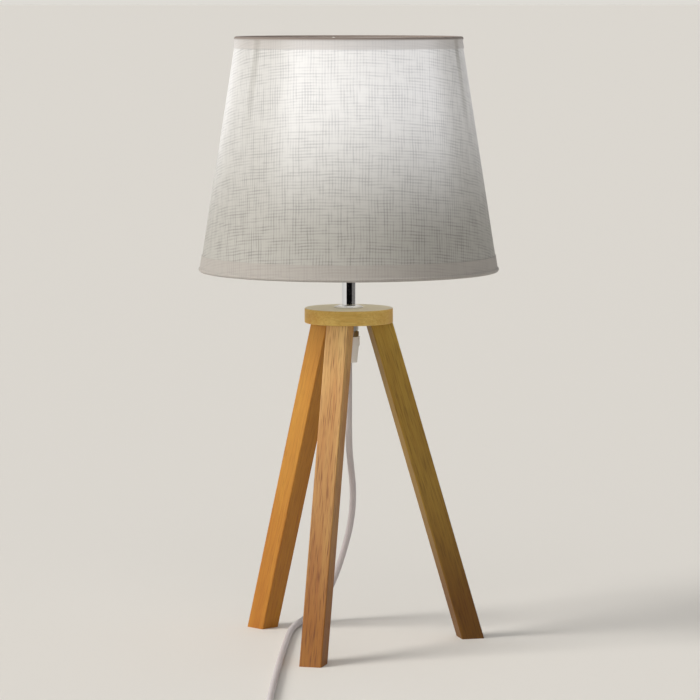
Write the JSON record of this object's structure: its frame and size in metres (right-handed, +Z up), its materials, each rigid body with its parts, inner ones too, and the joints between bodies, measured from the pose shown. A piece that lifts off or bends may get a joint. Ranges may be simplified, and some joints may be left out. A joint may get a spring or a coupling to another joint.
{
  "type": "tripod table lamp",
  "caption": "Table lamp with a tapered linen drum shade on a chrome stem, a round wooden plate and splayed wooden legs, with a corded in-line switch and plug.",
  "frame": {"origin": "on the surface that the feet stand on, on the axis of the stem", "axes": "+Z up along the stem; the front leg stands towards -Y, a little towards -X, as the picture sees it"},
  "size_m": [0.2457, 0.5501, 0.4895],
  "materials": {
    "linen": "woven",
    "linen_tape": "woven",
    "liner": "smooth backing",
    "white_wire": "gloss",
    "plate_wood": "satin",
    "leg_wood": "satin",
    "chrome": "polished",
    "steel": "zinc plated",
    "white_plastic": "moulded",
    "white_cord": "smooth",
    "ceramic": "glazed",
    "brass": "plain",
    "opal_glass": "frosted",
    "bulb_glass": "clear",
    "black_glass": "vitreous",
    "bulb_metal": "plain",
    "filament": "emissive",
    "core_brown": "smooth",
    "core_blue": "smooth",
    "pin_sleeve": "smooth",
    "tie_paper": "smooth"
  },
  "bodies": {
    "stand": {"stem_tube": "chrome", "stem_rosette": "chrome", "leg_plate": "plate_wood", "stem_washer": "steel", "stem_nuts": "steel", "cord_grip": "white_plastic", "grip_screw": "steel", "leg_front": "leg_wood", "leg_right": "leg_wood", "leg_left": "leg_wood", "leg_bolts": "steel", "leg_inserts": "brass", "holder_cap": "white_plastic", "holder_sleeve": "white_plastic", "shade_ring": "white_plastic", "holder_core": "ceramic", "socket_shell": "brass", "centre_contact": "brass", "holder_terminals": "brass", "terminal_screws": "steel", "stem_lead": "white_cord", "live_core": "core_brown", "neutral_core": "core_blue", "cord_to_switch": "white_cord", "cord_to_coil": "white_cord", "cord_coil": "white_cord", "cord_tie": "tie_paper", "cord_to_plug": "white_cord", "switch_base": "white_plastic", "switch_cover": "white_plastic", "switch_screws": "steel", "switch_lead_ends": "white_cord", "switch_terminals": "brass", "switch_live_cores": "core_brown", "switch_neutral_core": "core_blue", "plug_body": "white_plastic", "plug_pins": "brass", "pin_sleeves": "pin_sleeve"},
    "shade": {"shade_cover": "linen", "shade_liner": "liner", "top_ring": "white_wire", "bottom_ring": "white_wire", "top_hem": "linen_tape", "bottom_hem": "linen_tape", "fitter_ring": "white_wire", "spider_arms": "white_wire"},
    "bulb_carrier": {"bulb_contact": "steel", "bulb_insulator": "black_glass"},
    "bulb": {"bulb_cap": "bulb_metal", "bulb_globe": "opal_glass", "filament_mount": "bulb_glass", "bulb_filaments": "filament"},
    "rocker": {"switch_rocker": "white_plastic"}
  },
  "joints": [
    {"name": "shade_turn", "type": "hinge", "parent": "stand", "child": "shade", "pos_m": [0, 0, 0.3291], "axis": [0, 0, 1], "continuous": true},
    {"name": "bulb_lift", "type": "slide", "parent": "stand", "child": "bulb_carrier", "axis": [0, 0, 1], "range_m": [0, 0.018]},
    {"name": "bulb_turn", "type": "hinge", "parent": "bulb_carrier", "child": "bulb", "pos_m": [0, 0, 0.3369], "axis": [0, 0, 1], "range_deg": [0, 1800]},
    {"name": "rocker_tilt", "type": "hinge", "parent": "stand", "child": "rocker", "pos_m": [0.022, -0.33, 0.0085], "axis": [0, 1, 0], "range_deg": [-16, 0]}
  ],
  "couplings": [
    {"joint": "bulb_lift", "follows": "bulb_turn", "m_per_rad": 0.00057296}
  ]
}
